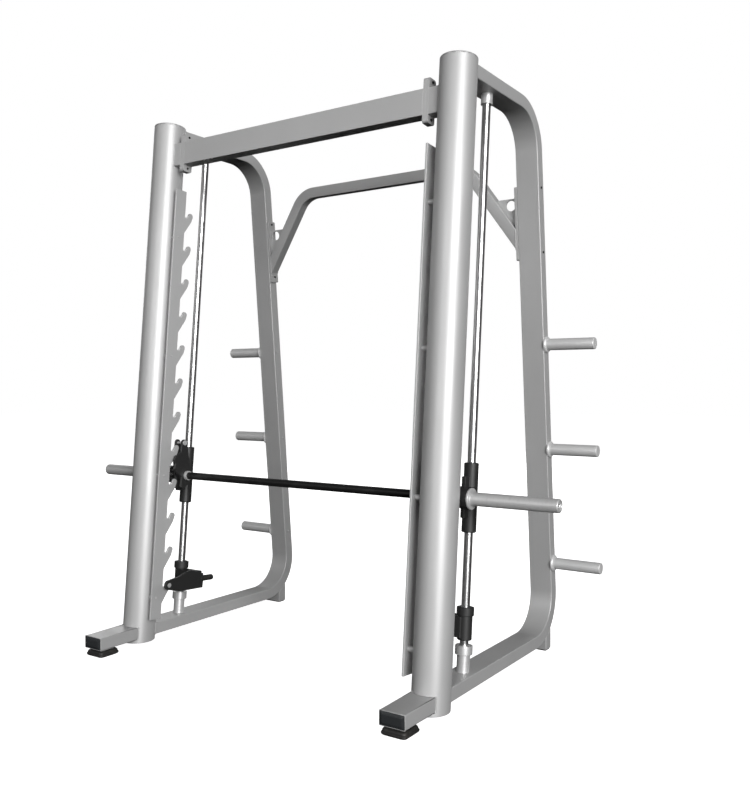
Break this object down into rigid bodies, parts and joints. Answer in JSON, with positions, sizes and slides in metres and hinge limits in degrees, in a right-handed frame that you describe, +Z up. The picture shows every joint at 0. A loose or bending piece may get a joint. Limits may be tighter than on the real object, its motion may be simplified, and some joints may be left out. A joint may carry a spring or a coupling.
{
  "type": "smith machine",
  "caption": "Smith machine: leaning round posts, bent side frames, a barbell that runs on guide rods and hooks onto toothed racks, sliding safety stops and plate pegs.",
  "frame": {"origin": "on the floor, at the middle of the machine's footprint", "axes": "+X to the machine's right as seen from the front, +Y to its back, +Z up"},
  "size_m": [2.3, 1.2558, 2.3231],
  "materials": {
    "silver_paint": "satin silver-grey powder coat",
    "sleeve_steel": "satin plated steel",
    "chrome": "hard chrome plate",
    "black_paint": "satin black powder coat",
    "black_bar": "black oxide steel",
    "black_plastic": "moulded end cap",
    "rubber": "moulded rubber",
    "bolt_steel": "black oxide screws and nuts",
    "bronze": "plain bronze bearing"
  },
  "bodies": {
    "frame": {"left_post": "silver_paint", "right_post": "silver_paint", "post_caps": "silver_paint", "left_side_frame": "silver_paint", "right_side_frame": "silver_paint", "left_foot_tube": "silver_paint", "right_foot_tube": "silver_paint", "foot_tube_caps": "black_plastic", "left_front_foot": "rubber", "right_front_foot": "rubber", "front_foot_plates": "silver_paint", "rear_foot_stubs": "silver_paint", "rear_foot_pads": "rubber", "crossbeam": "silver_paint", "left_beam_stub": "silver_paint", "right_beam_stub": "silver_paint", "crossbeam_flanges": "silver_paint", "stub_flanges": "silver_paint", "beam_bolts": "bolt_steel", "rear_crossbar": "silver_paint", "left_crossbar_plate": "silver_paint", "right_crossbar_plate": "silver_paint", "crossbar_gussets": "silver_paint", "crossbar_bolts": "bolt_steel", "left_rack": "silver_paint", "right_rack": "silver_paint", "rack_standoffs": "silver_paint", "rack_screws": "sleeve_steel", "left_guide_rod": "chrome", "right_guide_rod": "chrome", "rod_collars": "sleeve_steel", "left_rod_socket": "sleeve_steel", "right_rod_socket": "sleeve_steel", "left_pegs": "sleeve_steel", "right_pegs": "sleeve_steel", "peg_flanges": "silver_paint", "peg_caps": "sleeve_steel", "peg_bolts": "sleeve_steel"},
    "carriages": {"left_carriage": "black_paint", "right_carriage": "black_paint", "carriage_bushes": "bronze", "bar_bushes": "chrome"},
    "barbell": {"bar": "black_bar", "left_sleeve": "sleeve_steel", "right_sleeve": "sleeve_steel", "sleeve_end_caps": "bolt_steel", "bar_collars": "sleeve_steel", "left_hook": "black_paint", "right_hook": "black_paint", "hook_pins": "sleeve_steel"},
    "left_stop_slider": {"left_stop_bushes": "black_plastic"},
    "left_stop_arm": {"left_stop": "black_paint", "left_stop_pin": "sleeve_steel", "left_stop_grip": "rubber"},
    "right_stop_slider": {"right_stop_bushes": "black_plastic"},
    "right_stop_arm": {"right_stop": "black_paint", "right_stop_pin": "sleeve_steel", "right_stop_grip": "rubber"}
  },
  "joints": [
    {"name": "bar_lift", "type": "slide", "parent": "frame", "child": "carriages", "axis": [0, 0.0861, 0.9963], "range_m": [0, 1.35]},
    {"name": "bar_twist", "type": "hinge", "parent": "carriages", "child": "barbell", "pos_m": [0, -0.20953, 0.73538], "axis": [-1, 0, 0], "range_deg": [-19.5, 40]},
    {"name": "left_stop_slide", "type": "slide", "parent": "frame", "child": "left_stop_slider", "axis": [0, 0.0861, 0.9963], "range_m": [0, 0.25]},
    {"name": "left_stop_turn", "type": "hinge", "parent": "left_stop_slider", "child": "left_stop_arm", "pos_m": [-0.7467, -0.12738, 0.26204], "axis": [0, 0.0861, 0.9963], "range_deg": [-3.2, 30]},
    {"name": "right_stop_slide", "type": "slide", "parent": "frame", "child": "right_stop_slider", "axis": [0, 0.0861, 0.9963], "range_m": [0, 0.25]},
    {"name": "right_stop_turn", "type": "hinge", "parent": "right_stop_slider", "child": "right_stop_arm", "pos_m": [0.7467, -0.12738, 0.26204], "axis": [0, -0.0861, -0.9963], "range_deg": [-3.2, 30]}
  ]
}
